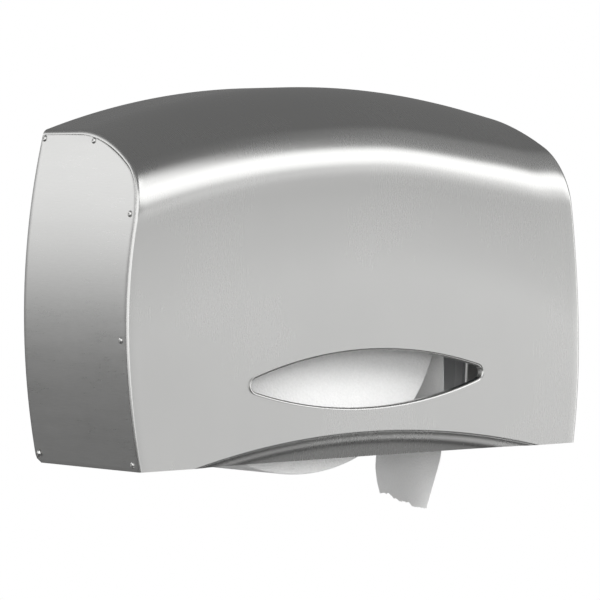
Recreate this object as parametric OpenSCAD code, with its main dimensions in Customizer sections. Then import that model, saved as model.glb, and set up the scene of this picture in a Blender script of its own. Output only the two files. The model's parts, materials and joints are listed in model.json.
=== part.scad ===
// Jumbo toilet roll dispenser with a bowed stainless cover, shown with a full roll hanging in it.
// X runs to the right, -Y comes out of the wall, Z is up.
// The origin is the middle of the four wall holes, on the wall.
// Inside the modules, h is a height above the cover's bottom edge and t a distance from the wall.

/* [Overall size] */
// Greatest width, across the bowed sides
body_w = 356; // [345:1:430]
// Height at the top of the crown
body_h = 250; // [245:1:300]
// Greatest depth, from the wall to the shoulder
body_d = 150; // [148:1:180]

/* [Cover form] */
// Radius of the arched top, seen from the front
crown_r = 516; // [480:4:640]
// Radius of the bowed sides, seen from the front
bow_r = 517; // [460:1:700]
// Height at which the sides are widest
bow_h = 84; // [75:1:100]
// Radius of the soft upper part of the shoulder
soft_r = 179; // [150:1:200]
// Angle that the soft part turns through
soft_a = 25.5; // [22:0.5:29]
// Radius of the tight part of the shoulder
tight_r = 36; // [30:1:44]
// Radius of the hollow front below the shoulder
hollow_r = 617; // [500:1:800]
// Angle by which the front leans back under the shoulder
lean_a = 6.7; // [5:0.1:7.5]
// Thickness of the cover's steel
sheet = 1.2; // [1:0.1:1.5]
// Width of the bent rim round each side panel
rim_w = 2.4; // [2:0.1:3]
// Depth of the flange that each side panel is riveted to
flange_w = 16; // [15:0.5:18]

/* [Window] */
// Distance of the window and of the hand recess from the cover's middle
feature_x = 5.7; // [0:0.1:10]
// Width of the oval window
window_w = 184; // [160:1:200]
// Height of the oval window
window_h = 40.5; // [34:0.5:46]
// Height of the window's middle above the bottom edge
window_z = 52.6; // [50:0.2:60]
// Radius of the oval's two tight ends
window_end_r = 6; // [5:0.5:8]
// Depth of the edge turned in round the window
window_lip = 4; // [3:0.5:6]

/* [Hand recess] */
// Height of the recess at its middle
recess_h = 17.6; // [15:0.2:20]
// Radius of the recess's upper crease
recess_r = 545; // [500:1:620]
// Distance that the recessed lip stands back
recess_back = 8; // [6:0.5:9]
// Radius of the two bends that step the sheet back
recess_bend_r = 3; // [2.5:0.1:4]
// Steepest angle of the step
recess_a = 60; // [50:1:70]

/* [Rivets] */
// Diameter of a rivet's head
rivet_head_d = 4.4; // [4:0.1:6]
// Height of a rivet's head
rivet_head_h = 1.1; // [0.8:0.1:1.6]
// Diameter of a rivet's shank
rivet_d = 2.4; // [2:0.1:3]
// Distance of the top rivets below the crown's edge
rivet_top_in = 4.5; // [4:0.5:7]
// Distance of the front rivets behind the front
rivet_front_in = 9; // [8:0.5:11]
// Height of the highest front rivet
rivet_high_h = 170; // [160:1:175]
// Height of the middle front rivet
rivet_mid_h = 87; // [70:1:110]
// Height of the lowest front rivet
rivet_low_h = 4.5; // [4:0.5:10]

/* [Back plate] */
// Thickness of the back plate
plate_t = 1.5; // [1.2:0.1:2]
// Gap between the cover's outline and the back plate's sides
plate_gap = 19; // [18:0.5:20]
// Depth of the back plate's side flanges
plate_flange = 18; // [14:1:18]
// Height of the origin, in the middle of the wall holes
mount_h = 125; // [115:1:135]
// Distance between the wall holes, across
hole_dx = 200; // [180:1:220]
// Distance between the wall holes, up and down
hole_dz = 140; // [120:1:150]
// Diameter of a wall hole
hole_d = 6.5; // [5:0.1:8]

/* [Hinge] */
// Distance of the hinge pin from the wall
hinge_t = 7; // [7:0.1:8]
// Height of the hinge pin above the bottom edge
hinge_h = 6.5; // [6.3:0.1:6.8]
// Diameter of the hinge pin
hinge_d = 3; // [2.5:0.1:4]
// Radial clearance of the hinge pin in the side panel
hinge_clear = 0.08; // [0.05:0.01:0.1]
// Height of the hinge brackets
bracket_h = 24; // [20:1:28]

/* [Roll] */
// Diameter of a full roll
roll_d = 226; // [200:1:228]
// Width of the paper
paper_w = 90; // [86:1:94]
// Inner diameter of the cardboard core
core_d = 57; // [50:1:60]
// Wall of the cardboard core
core_wall = 1.5; // [1:0.1:2]
// Distance of the roll's middle from the cover's middle
roll_x = -27.5; // [-32:0.5:-26]
// Height of the roll's middle above the bottom edge
roll_z = 101.5; // [100:0.5:104]
// Distance of the roll from the wall
roll_t = 22; // [21:0.5:23]
// Length of the loose tail below the roll's middle
tail_drop = 141; // [120:1:145]
// Thickness of the loose tail, with its air between the plies
tail_t = 0.8; // [0.5:0.1:1.2]

/* [Spindles] */
// Diameter of a spindle
spindle_d = 10; // [8:0.5:12]
// Distance of the spare spindle from the cover's middle
spare_x = 122; // [120:1:124]
// Height of the spare spindle above the bottom edge
spare_z = 112; // [100:1:114]
// Length of a hub's barrel
hub_l = 70; // [50:1:80]
// Diameter of a hub's back flange
hub_flange_d = 62; // [60.5:0.5:66]
// Radial clearance of a hub on its spindle
hub_clear = 0.1; // [0.05:0.01:0.1]
// Width of a spindle's base
base_w = 48; // [44:1:52]

/* [Lock] */
// Distance of the lock from the wall
lock_t = 29; // [28.5:0.5:31]
// Height of the lock above the bottom edge
lock_h = 185; // [183:1:188]
// Diameter of the lock's threaded barrel
lock_d = 16; // [14:0.5:17]
// Length of the barrel inside the panel
lock_l = 9; // [8.5:0.5:10]
// Diameter of the lock's turning plug
plug_d = 10; // [8:0.5:10.5]
// Radial clearance of the plug in the barrel
plug_clear = 0.06; // [0.04:0.01:0.1]
// Reach of the cam from the plug's axis
cam_reach = 20; // [18:0.5:20.5]
// Width of the cam
cam_w = 8; // [7:0.5:9]

/* [Tear bar] */
// Length of the tear bar
tear_w = 108; // [80:4:112]
// Distance from tooth to tooth
tooth_pitch = 4; // [3:0.5:5]
// Depth of a tooth
tooth_h = 2; // [1.5:0.1:2.2]

/* [Hidden] */
$fn = 96;

steel = "silver";
dark_steel = "darkgray";
zinc = "gainsboro";
plastic = "slategray";
paper = "white";

big_fn = 240;           // roundness of the large arcs
seat = 0.05;            // gap between pieces of one body that are fitted together
run_gap = 0.3;          // gap between faces that turn past each other
past = 5;               // how far a cutting shape runs past what it cuts
low_drop = body_h + past;
sweep_a = 40;           // half angle of the crown's turn, wide enough for the bowed sides
wall_gap = hinge_t - hinge_h;   // gap between the cover and the wall

// A direction in the side view: 0 is up, 90 is out from the wall.
function dir(a) = [cos(a), sin(a)];
function arc(c, r, from, to, step) = let(n = ceil(abs(to - from) / step))
    [for (i = [0 : n]) c + r * dir(from + (to - from) * i / n)];

// The crown's height, and the bow's half width, of the cover's surface at an inset.
crown_z = body_h - crown_r;
bow_x = body_w / 2 - bow_r;
function crown_at(x, inset = 0) = crown_z + sqrt(pow(crown_r - inset, 2) - x * x);
function side_at(h, inset = 0) = bow_x + sqrt(pow(bow_r - inset, 2) - pow(h - bow_h, 2));
function side_slope(h) = asin((h - bow_h) / bow_r);
// Height of the side's point that lies an inset below the crown's edge.
function edge_h(inset, tries = 8, h = body_h) =
    tries == 0 ? h : edge_h(inset, tries - 1, crown_at(side_at(h), inset));

// Centres of the side view's arcs, as [radius from the crown's axis, distance from the wall].
flat_t = body_d - tight_r - (soft_r - tight_r) * sin(soft_a);
soft_c = [crown_r - soft_r, flat_t];
tight_c = soft_c + (soft_r - tight_r) * dir(soft_a);
hollow_c = tight_c + (tight_r + hollow_r) * dir(90 + lean_a);
front_t = hollow_c[1] - hollow_r;   // distance of the flat lower front from the wall
lip_t = front_t - recess_back;      // distance of the recessed lip from the wall

// Drop of the top, and distance of the front from the wall, on a side panel's edge.
function top_drop(t) = t < flat_t ? 0 : soft_r - sqrt(soft_r * soft_r - pow(t - flat_t, 2));
function front_of(r) =
    r > tight_c[0] - tight_r * sin(lean_a) ? tight_c[1] + sqrt(tight_r * tight_r - pow(r - tight_c[0], 2)) :
    r > hollow_c[0] ? hollow_c[1] - sqrt(hollow_r * hollow_r - pow(r - hollow_c[0], 2)) : front_t;
function front_at(h) = front_of(norm([side_at(h), h - crown_z]));
rivet_spots = concat(
    [for (t = [wall_gap + 4, body_d / 2]) [t, edge_h(top_drop(t) + rivet_top_in)]],
    [for (h = [rivet_high_h, rivet_mid_h, rivet_low_h]) [front_at(h) - rivet_front_in, h]]);

// Everything is drawn from the bottom edge and then moved so that the wall holes are at the origin.
module seated() {
    translate([0, 0, -mount_h]) children();
}

// Turns a drawing in the front view, or a revolve about its Z axis, out of the wall.
module face_out(t = 0) {
    translate([0, -t, 0]) rotate([90, 0, 0]) children();
}

// Turns a drawing in the side view, [distance from the wall, height], to the right.
module face_right(x = 0) {
    translate([x, 0, 0]) rotate([90, 0, 90]) mirror([1, 0, 0]) children();
}

// Right half as drawn, or its mirror image on the left.
module on_hand(s) {
    mirror([s < 0 ? 1 : 0, 0, 0]) children();
}

// Stands on the right side's outer face, with Z pointing out of it.
module on_side(t, h) {
    translate([side_at(h), -t, h]) rotate([0, 90 - side_slope(h), 0]) children();
}

// The region behind the side view's curve, inset by a distance.
module side_view(inset) {
    low_r = crown_r - low_drop;
    polygon(concat(
        [[low_r, -past], [crown_r - inset, -past]],
        arc(soft_c, soft_r - inset, 0, soft_a, 5),
        arc(tight_c, tight_r - inset, soft_a, 90 + lean_a, 5),
        arc(hollow_c, hollow_r + inset, lean_a - 90, -90, 1.7),
        [[low_r, front_t - inset]]));
}

// The arched body inside the cover's surface, inset by a distance.
module crown_body(inset) {
    translate([0, 0, crown_z])
        face_out()
            rotate_extrude(angle = 2 * sweep_a, start = 90 - sweep_a, $fn = big_fn)
                side_view(inset);
}

// The front view between the two bowed sides, inset by a distance.
module bowed(inset) {
    intersection() {
        translate([bow_x, bow_h]) circle(bow_r - inset, $fn = big_fn);
        translate([-bow_x, bow_h]) circle(bow_r - inset, $fn = big_fn);
    }
}

module above(h, top = 2 * body_h) {
    translate([-body_w, h]) square([2 * body_w, top - h]);
}

module outline_body(inset) {
    face_out(wall_gap)
        linear_extrude(body_d)
            intersection() {
                bowed(inset);
                above(0);
            }
}

// A layer between two insets of the bowed sides, down to a height.
module side_layer(outer, inner, low = 0) {
    face_out(wall_gap)
        linear_extrude(body_d)
            difference() {
                intersection() {
                    bowed(outer);
                    above(low);
                }
                bowed(inner);
            }
}

// The four-arc oval of the window, inset by a distance: its ends turn through joint_a on both sides.
module oval(inset) {
    b = window_h / 2 - inset;
    e = window_end_r - inset;
    run = window_w / 2 - window_end_r;
    big = (run * run + b * b - e * e) / (2 * (b - e));
    joint_a = atan2(big - b, run);
    polygon(concat(
        arc([run, 0], e, -joint_a, joint_a, 12),
        arc([0, b - big], big, joint_a + 2, 178 - joint_a, 2),
        arc([-run, 0], e, 180 - joint_a, 180 + joint_a, 12),
        arc([0, big - b], big, 182 + joint_a, 358 - joint_a, 2)));
}

// The front view below the hand recess's crease.
module recess_area() {
    translate([feature_x, recess_h - recess_r]) circle(recess_r, $fn = big_fn);
}

// Side view of the stepped-back lip: [radius from the recess's axis, distance from the wall].
step_shift = 2 * recess_bend_r * (1 - cos(recess_a));
step_run = (recess_back - step_shift) / sin(recess_a);
step_h = 2 * recess_bend_r * sin(recess_a) + step_run * cos(recess_a);

module lip_body(inset) {
    low_r = recess_r - recess_h - 2 * past;
    upper_c = [recess_r, front_t - recess_bend_r];
    lower_c = [recess_r - step_h, lip_t + recess_bend_r];
    translate([feature_x, 0, recess_h - recess_r])
        face_out()
            rotate_extrude(angle = 40, start = 70, $fn = big_fn)
                polygon(concat(
                    [[low_r, -past], [recess_r + past, -past], [recess_r + past, front_t - inset]],
                    arc(upper_c, recess_bend_r - inset, 90, 90 + recess_a, 10),
                    arc(lower_c, recess_bend_r + inset, recess_a - 90, -90, 10),
                    [[low_r, lip_t - inset]]));
}

module rivet_holes() {
    for (p = rivet_spots)
        on_side(p[0], p[1]) translate([0, 0, -2 * past]) cylinder(d = rivet_d + 2 * seat, h = 3 * past);
}

// One formed sheet: arched top and front, rims and flanges for the sides, window and hand recess.
module cover_wrap() {
    color(steel) seated() difference() {
        union() {
            // top and front
            difference() {
                intersection() {
                    crown_body(0);
                    outline_body(0);
                }
                crown_body(sheet);
                face_out() linear_extrude(body_d + past) recess_area();
            }
            // rims bent round the side panels
            intersection() {
                difference() {
                    crown_body(0);
                    crown_body(rim_w);
                }
                side_layer(0, 2 * sheet + seat);
            }
            // flanges that the side panels are riveted to
            intersection() {
                difference() {
                    crown_body(sheet / 2);
                    crown_body(flange_w);
                }
                side_layer(sheet + seat, 2 * sheet + seat);
            }
            // stepped-back lip of the hand recess
            intersection() {
                difference() {
                    lip_body(0);
                    lip_body(sheet);
                }
                face_out() linear_extrude(body_d + past) intersection() {
                    recess_area();
                    above(0);
                }
            }
            // edge turned in round the window
            translate([feature_x, 0, window_z])
                face_out(front_t - sheet / 2 - window_lip) linear_extrude(window_lip) oval(-sheet);
        }
        translate([feature_x, 0, window_z]) face_out()
            linear_extrude(body_d + past) oval(0);
        for (s = [-1, 1]) on_hand(s) rivet_holes();
    }
}

// The right side panel: it fills the rim, and its lower back corner is round about the hinge pin.
module side_panel() {
    difference() {
        intersection() {
            side_layer(0, sheet, -past);
            crown_body(rim_w + seat);
            face_right() linear_extrude(body_w) polygon(concat(
                [[body_d, 0], [body_d, body_h], [-past, body_h], [-past, 2 * hinge_h]],
                [for (a = [0 : 15 : 90]) [hinge_t - hinge_h * cos(a), hinge_h - hinge_h * sin(a)]]));
        }
        face_right() linear_extrude(body_w) translate([hinge_t, hinge_h]) circle(hinge_d / 2 + hinge_clear);
        rivet_holes();
    }
}

module side_panel_left() {
    color(steel) seated() on_hand(-1) side_panel();
}

module side_panel_right() {
    color(steel) seated() difference() {
        side_panel();
        on_side(lock_t, lock_h) cylinder(d = lock_d + 2 * seat, h = 2 * past, center = true);
    }
}

// A rivet with a domed head above Z = 0 and a small formed end below its grip.
module rivet(head_d, head_h, d, grip) {
    dome_r = (pow(head_d / 2, 2) + head_h * head_h) / (2 * head_h);
    intersection() {
        translate([0, 0, head_h - dome_r]) sphere(dome_r);
        cylinder(d = head_d + 1, h = 2 * head_h);
    }
    translate([0, 0, -grip]) cylinder(d = d, h = grip);
    translate([0, 0, -grip - d / 4]) cylinder(d = 1.4 * d, h = d / 4);
}

module side_rivets() {
    for (p = rivet_spots)
        on_side(p[0], p[1]) rivet(rivet_head_d, rivet_head_h, rivet_d, 2 * sheet + 2 * seat);
}

module rivets_left() {
    color(steel) seated() on_hand(-1) side_rivets();
}

module rivets_right() {
    color(steel) seated() side_rivets();
}

// A strip behind the recessed lip, with its teeth just above the lip's edge.
module tear_bar() {
    tear_t = 1.2;
    root_h = tooth_h + 1;
    teeth = floor(tear_w / tooth_pitch);
    start = feature_x - teeth * tooth_pitch / 2;
    color(steel) seated() face_out(lip_t - sheet - tear_t) linear_extrude(tear_t) intersection() {
        polygon(concat(
            [[start + teeth * tooth_pitch, root_h], [start + teeth * tooth_pitch, recess_h], [start, recess_h]],
            [for (i = [0 : teeth - 1], p = [[0, 0], [0.5, -tooth_h]]) [start + (i + p[0]) * tooth_pitch, root_h + p[1]]]));
        translate([feature_x, recess_h - recess_r]) circle(recess_r - step_h - 0.5, $fn = big_fn);
    }
}

// Sizes along the lock's axis, from the panel's outer face.
lock_head_h = 2.5;
lock_head_d = lock_d + 5;
nut_h = 4;
lip_h = 1;                      // lip that keeps the plug in the barrel
cam_t = 2;
slot_l = 5;                     // depth of the key slot
screw_l = 5;                    // length of the cam screw's shank
cam_top = -lock_l - run_gap;    // the cam's outer face, which the plug's shoulder meets

module lock_barrel() {
    bore = plug_d / 2 + plug_clear;
    color(zinc) seated() on_side(lock_t, lock_h) rotate_extrude()
        polygon([[bore, -lock_l], [lock_d / 2, -lock_l], [lock_d / 2, 0], [lock_head_d / 2, 0],
            [lock_head_d / 2, lock_head_h - 0.8], [lock_head_d / 2 - 0.8, lock_head_h],
            [bore - 1, lock_head_h], [bore - 1, lock_head_h - lip_h], [bore, lock_head_h - lip_h]]);
}

module lock_nut() {
    color(zinc) seated() on_side(lock_t, lock_h) translate([0, 0, -sheet - nut_h - 0.15]) difference() {
        cylinder(d = (lock_d + 5) / cos(30), h = nut_h, $fn = 6);
        translate([0, 0, -1]) cylinder(d = lock_d + 2 * seat, h = nut_h + 2);
    }
}

// The turning plug, with its key slot and the square end that carries the cam.
module lock_plug() {
    square_w = plug_d * 0.6;
    shoulder = lock_head_h - lip_h - run_gap;
    color(zinc) seated() on_side(lock_t, lock_h) difference() {
        union() {
            translate([0, 0, cam_top]) cylinder(d = plug_d, h = shoulder - cam_top);
            cylinder(d = plug_d - 2 * lip_h - run_gap, h = lock_head_h - 0.2);
            translate([-square_w / 2, -square_w / 2, cam_top - cam_t + 0.2])
                cube([square_w, square_w, cam_t]);
        }
        translate([-0.7, -2.6, lock_head_h - slot_l]) cube([1.4, 5.2, 2 * slot_l]);
        translate([0, 0, cam_top - cam_t]) cylinder(d = 3 + 2 * seat, h = screw_l + run_gap);
    }
}

// Points to the wall when open; turned by a quarter, it hangs behind the strike.
module lock_cam() {
    square_w = plug_d * 0.6 + 2 * seat;
    color(steel) seated() on_side(lock_t, lock_h) translate([0, 0, cam_top - cam_t]) linear_extrude(cam_t)
        difference() {
            union() {
                circle(cam_w * 0.7);
                translate([-cam_w / 2, 0]) square([cam_w, cam_reach - cam_w / 2]);
                translate([0, cam_reach - cam_w / 2]) circle(cam_w / 2);
            }
            square(square_w, center = true);
        }
}

module cam_screw() {
    color(steel) seated() on_side(lock_t, lock_h) translate([0, 0, cam_top - cam_t]) difference() {
        union() {
            translate([0, 0, -2]) cylinder(d = 9, h = 2);
            cylinder(d = 3, h = screw_l);
        }
        translate([-3.5, -0.5, -3]) cube([7, 1, 2]);
    }
}

// Sizes of the back plate and of what stands on it.
plate_r = crown_r - 26;     // radius of the plate's arched top
flange_h = bracket_h + 6;   // where the side flanges begin, above the hinge brackets
base_t = 2;                 // thickness of the brackets and spindle bases
fix_d = 3.2;                // diameter of the rivets through the plate
hub_back = roll_t - 2;      // distance of a hub's back face from the wall
collar_t = hub_back - 2 * run_gap;

module plate_outline(inset) {
    intersection() {
        bowed(plate_gap + inset);
        above(0);
        translate([0, crown_z]) circle(plate_r - inset, $fn = big_fn);
    }
}

// Centres of the rivets that hold each fitting on the plate, [distance from the middle, height].
base_corner = base_w / 2 - 6;
bracket_in = side_at(0, plate_gap) - 10;
strike_h = lock_h - 16.5;   // middle of the strike, under the barrel's swing
strike_w = 11;
strike_t = 1.6;
strike_fix = [7, 14];       // distances of the strike's two rivets from the wall
function corners(x, h) = [for (i = [-1, 1], j = [-1, 1]) [x + i * base_corner, h + j * base_corner]];
fix_spots = concat(
    corners(roll_x, roll_z),
    corners(spare_x, spare_z),
    [for (s = [-1, 1], h = [7, bracket_h - 7]) [s * bracket_in, h]]);

module fix_holes() {
    for (p = fix_spots)
        translate([p[0], 0, p[1]]) face_out(-past) cylinder(d = fix_d + 2 * seat, h = 3 * past);
}

// Places what it is given at the strike's two rivets, on the side flange's outer face.
module at_strike() {
    for (t = strike_fix)
        on_side(t, strike_h) translate([0, 0, -plate_gap]) children();
}

module strike_holes() {
    at_strike() cylinder(d = fix_d + 2 * seat, h = 2 * past, center = true);
}

// The wall plate: side flanges follow the bowed cover, and the top flange follows its crown.
module back_plate() {
    color(dark_steel) seated() difference() {
        union() {
            face_out() linear_extrude(plate_t) plate_outline(0);
            face_out() linear_extrude(plate_flange) difference() {
                intersection() {
                    plate_outline(0);
                    above(flange_h);
                }
                bowed(plate_gap + plate_t);
            }
            face_out() linear_extrude(plate_flange * 0.6) difference() {
                plate_outline(0);
                translate([0, crown_z]) circle(plate_r - plate_t, $fn = big_fn);
            }
        }
        for (i = [-1, 1], j = [-1, 1])
            translate([i * hole_dx / 2, 0, mount_h + j * hole_dz / 2])
                face_out(-past) cylinder(d = hole_d, h = 3 * past);
        fix_holes();
        strike_holes();
    }
}

// The hinge bracket's ear stands just inside the side panel, and its foot lies on the plate.
ear_x = side_at(0, sheet) - run_gap - 0.1;

module hinge_bracket() {
    difference() {
        union() {
            face_right(ear_x - base_t) linear_extrude(base_t) union() {
                translate([plate_t, 1]) square([hinge_t - plate_t, bracket_h - 1]);
                translate([hinge_t, hinge_h]) circle(hinge_h - 1);
                translate([hinge_t, 2 * hinge_h]) circle(hinge_h - 1);
                translate([hinge_t, hinge_h]) square([hinge_h - 1, hinge_h]);
            }
            translate([bracket_in - 7, 0, 1]) face_out(plate_t)
                linear_extrude(base_t) square([ear_x - bracket_in + 7, bracket_h - 1]);
        }
        face_right(ear_x - 2 * base_t) linear_extrude(4 * base_t)
            translate([hinge_t, hinge_h]) circle(hinge_d / 2 + seat);
        fix_holes();
    }
}

module hinge_bracket_left() {
    color(dark_steel) seated() on_hand(-1) hinge_bracket();
}

module hinge_bracket_right() {
    color(dark_steel) seated() hinge_bracket();
}

// The pin is fixed in the ear, and its head keeps the panel on.
module hinge_pin() {
    head_x = side_at(hinge_h + hinge_d) + run_gap;
    translate([head_x, -hinge_t, hinge_h]) rotate([0, 90, 0])
        rivet(hinge_d + 2, rivet_head_h, hinge_d, head_x - ear_x + base_t + 0.2);
}

module hinge_pin_left() {
    color(steel) seated() on_hand(-1) hinge_pin();
}

module hinge_pin_right() {
    color(steel) seated() hinge_pin();
}

// A bent strip: its leg lies on the side flange, and its hook turns out in front of the cam.
module lock_strike() {
    leg_z = seat - plate_gap;
    hook_z = cam_top + run_gap + 1;
    hook_t = lock_t + cam_w / 2 + 0.6;
    color(dark_steel) seated() difference() {
        on_side(0, strike_h) face_right(-strike_w / 2) linear_extrude(strike_w) polygon([
            [plate_t + 1, leg_z], [hook_t + strike_t, leg_z], [hook_t + strike_t, hook_z], [hook_t, hook_z],
            [hook_t, leg_z + strike_t], [plate_t + 1, leg_z + strike_t]]);
        strike_holes();
    }
}

// A pressed base: a square foot and a collar that keeps the hub clear of the plate.
module spindle_foot(x, h) {
    difference() {
        translate([x, 0, h]) union() {
            face_out(plate_t) linear_extrude(base_t) square(base_w, center = true);
            face_out() rotate_extrude() polygon([[0, plate_t], [base_w / 2 - 6, plate_t + base_t],
                [spindle_d * 0.9, collar_t / 2], [spindle_d * 0.9, collar_t], [0, collar_t]]);
        }
        translate([x, 0, h]) face_out(-past) cylinder(d = spindle_d + 2 * seat, h = 2 * hub_back);
        fix_holes();
    }
}

hub_end = hub_back + hub_l + 2;     // distance of a hub's front face from the wall
clip_t = 1.2;

module spindle_rod(x, h) {
    translate([x, 0, h]) face_out(plate_t) rotate_extrude() polygon([
        [0, 0], [spindle_d / 2, 0], [spindle_d / 2, hub_end + run_gap - plate_t],
        [spindle_d / 2 - 1, hub_end + run_gap - plate_t],
        [spindle_d / 2 - 1, hub_end + run_gap + clip_t + 2 * seat - plate_t],
        [spindle_d / 2, hub_end + run_gap + clip_t + 2 * seat - plate_t],
        [spindle_d / 2, hub_end + 5 - plate_t], [spindle_d / 2 - 1.5, hub_end + 6.5 - plate_t],
        [0, hub_end + 6.5 - plate_t]]);
}

// An open ring that snaps into the spindle's groove.
module clip(x, h) {
    translate([x, 0, h]) face_out(hub_end + run_gap + seat) linear_extrude(clip_t) difference() {
        circle(spindle_d * 0.85);
        circle(spindle_d / 2 - 1 + seat);
        translate([-spindle_d * 0.35, -spindle_d]) square([spindle_d * 0.7, spindle_d]);
    }
}

// A moulded spool: back flange, barrel, boss and six ribs.
module hub(x, h) {
    barrel_r = core_d / 2 - 0.2;
    translate([x, 0, h]) face_out(hub_back) difference() {
        union() {
            cylinder(d = hub_flange_d, h = 2);
            linear_extrude(hub_l) difference() {
                circle(barrel_r);
                circle(barrel_r - 2);
            }
            cylinder(r = spindle_d / 2 + 3, h = hub_l + 2);
            for (a = [0 : 60 : 300])
                rotate(a) translate([spindle_d / 2 + 1, -1, 0]) cube([barrel_r - spindle_d / 2 - 2, 2, hub_l - 4]);
        }
        translate([0, 0, -past]) cylinder(r = spindle_d / 2 + hub_clear, h = hub_l + 2 * past);
    }
}

module spindle_base() {
    color(dark_steel) seated() spindle_foot(roll_x, roll_z);
}

module spare_base() {
    color(dark_steel) seated() spindle_foot(spare_x, spare_z);
}

module spindle() {
    color(steel) seated() spindle_rod(roll_x, roll_z);
}

module spare_spindle() {
    color(steel) seated() spindle_rod(spare_x, spare_z);
}

module spindle_clip() {
    color(steel) seated() clip(roll_x, roll_z);
}

module spare_clip() {
    color(steel) seated() clip(spare_x, spare_z);
}

module roll_hub() {
    color(plastic) seated() hub(roll_x, roll_z);
}

module spare_hub() {
    color(plastic) seated() hub(spare_x, spare_z);
}

// The rivets that hold the brackets, the strike and the spindle bases on the plate.
module base_rivets() {
    color(steel) seated() {
        for (p = fix_spots)
            translate([p[0], 0, p[1]]) face_out(plate_t + base_t) rivet_into_plate(plate_t + base_t);
        at_strike() translate([0, 0, strike_t + seat]) rivet_into_plate(plate_t + strike_t + seat);
    }
}

// Flush with the plate's back, so that the plate lies flat on the wall.
module rivet_into_plate(grip) {
    cylinder(d1 = 1.8 * fix_d, d2 = 1.2 * fix_d, h = 1);
    translate([0, 0, -grip]) cylinder(d = fix_d, h = grip);
}

module tube_out(x, h, t, outer, inner, length) {
    translate([x, 0, h]) face_out(t) linear_extrude(length) difference() {
        circle(d = outer, $fn = big_fn);
        circle(d = inner);
    }
}

core_out = core_d + 2 * core_wall;

module roll_core() {
    color("tan") seated() tube_out(roll_x, roll_z, roll_t, core_out, core_d, paper_w);
}

module paper_roll() {
    color(paper) seated() tube_out(roll_x, roll_z, roll_t, roll_d, core_out, paper_w);
}

// Front view of the hanging tail's face nearest the roll, and its far face.
tail_top = roll_z + 4;
tail_low = roll_z - tail_drop;
function tail_x(k) = roll_x + roll_d / 2 + 0.4 + 2.6 * sin(200 * k) - 13 * max(0, k - 0.55);
function tail_side(off) = [for (k = [0 : 1 / 16 : 1.001]) [tail_x(k) + off, tail_top + (tail_low - tail_top) * k]];

// Hangs from the roll's right side; its torn lower edge keeps the marks of the tear bar.
module paper_tail() {
    near = tail_side(0);
    far = tail_side(tail_t);
    teeth = floor(paper_w / tooth_pitch);
    color(paper) seated() intersection() {
        face_out(roll_t) linear_extrude(paper_w)
            polygon(concat(near, [for (i = [len(far) - 1 : -1 : 0]) far[i]]));
        face_right(roll_x + roll_d / 2 - 60) linear_extrude(120) polygon(concat(
            [[roll_t + paper_w, body_h], [roll_t, body_h]],
            [for (i = [0 : teeth]) [roll_t + i * paper_w / teeth, tail_low + 3 - 3 * i / teeth + 1.5 * (i % 2)]]));
    }
}

cover_wrap();
side_panel_left();
side_panel_right();
rivets_left();
rivets_right();
tear_bar();
lock_barrel();
lock_nut();
lock_plug();
lock_cam();
cam_screw();
back_plate();
hinge_bracket_left();
hinge_bracket_right();
hinge_pin_left();
hinge_pin_right();
lock_strike();
spindle_base();
spindle();
spindle_clip();
spare_base();
spare_spindle();
spare_clip();
base_rivets();
paper_tail();
roll_hub();
roll_core();
paper_roll();
spare_hub();
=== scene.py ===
"""Looks of a jumbo toilet roll dispenser: brushed cover, riveted sides, paper and inner fittings."""

import json
import math
import random

import bpy
from mathutils import Matrix, Vector


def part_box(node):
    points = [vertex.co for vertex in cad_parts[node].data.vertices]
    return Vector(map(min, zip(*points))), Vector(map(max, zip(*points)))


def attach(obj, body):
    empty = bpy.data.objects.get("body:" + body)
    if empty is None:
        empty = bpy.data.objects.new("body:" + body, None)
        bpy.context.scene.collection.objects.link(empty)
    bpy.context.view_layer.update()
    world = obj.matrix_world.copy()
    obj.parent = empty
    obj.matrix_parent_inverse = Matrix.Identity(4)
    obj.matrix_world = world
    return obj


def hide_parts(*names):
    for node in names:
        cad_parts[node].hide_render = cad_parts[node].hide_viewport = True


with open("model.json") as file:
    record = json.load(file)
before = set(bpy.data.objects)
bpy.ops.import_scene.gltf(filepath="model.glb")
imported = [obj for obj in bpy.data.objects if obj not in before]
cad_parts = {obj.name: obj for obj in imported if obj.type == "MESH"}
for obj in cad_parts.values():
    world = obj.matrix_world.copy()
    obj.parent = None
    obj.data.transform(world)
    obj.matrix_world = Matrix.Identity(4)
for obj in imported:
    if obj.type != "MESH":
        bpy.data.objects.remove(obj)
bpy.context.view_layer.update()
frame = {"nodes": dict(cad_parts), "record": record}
bpy.ops.object.select_all(action="DESELECT")

# ---------------------------------------------------------------- sizes, in millimetres
# x runs to the right, t is a distance from the wall, h a height above the cover's bottom edge.
MM = 0.001
cover_low, cover_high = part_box("cover_wrap")
roll_low, roll_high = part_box("paper_roll")
MOUNT_H = -cover_low.z / MM
BODY_W = (cover_high.x - cover_low.x) / MM
BODY_H = (cover_high.z - cover_low.z) / MM
BODY_D = -cover_low.y / MM
WALL_GAP = -cover_high.y / MM

CROWN_R = 516.0  # arched top, seen from the front
BOW_R = 517.0  # bowed sides, seen from the front
BOW_H = 84.0  # height at which the sides are widest
SOFT_R = 179.0  # soft upper part of the shoulder
SOFT_A = 25.5  # degrees that the soft part turns through
TIGHT_R = 36.0  # tight part of the shoulder
HOLLOW_R = 617.0  # hollow front below the shoulder
LEAN_A = 6.7  # degrees that the front leans back under the shoulder
SHEET = 1.2  # thickness of the steel
BEND_R = 2.0  # bend between the front and each rim
TOP_BEND_R = 2.2  # the same bend along the top
FRONT_BEND_T = 125.0  # the bend has its front radius from here out
TOP_BEND_T = 60.0  # and its top radius from here back
RIM_W = 2.4  # rim round each side panel
STEP = 1.25  # depth of the step behind which each panel lies
STEP_RUN = 0.5  # width that the step takes
FLANGE_W = 16.0  # flange that a panel is riveted to

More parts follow.
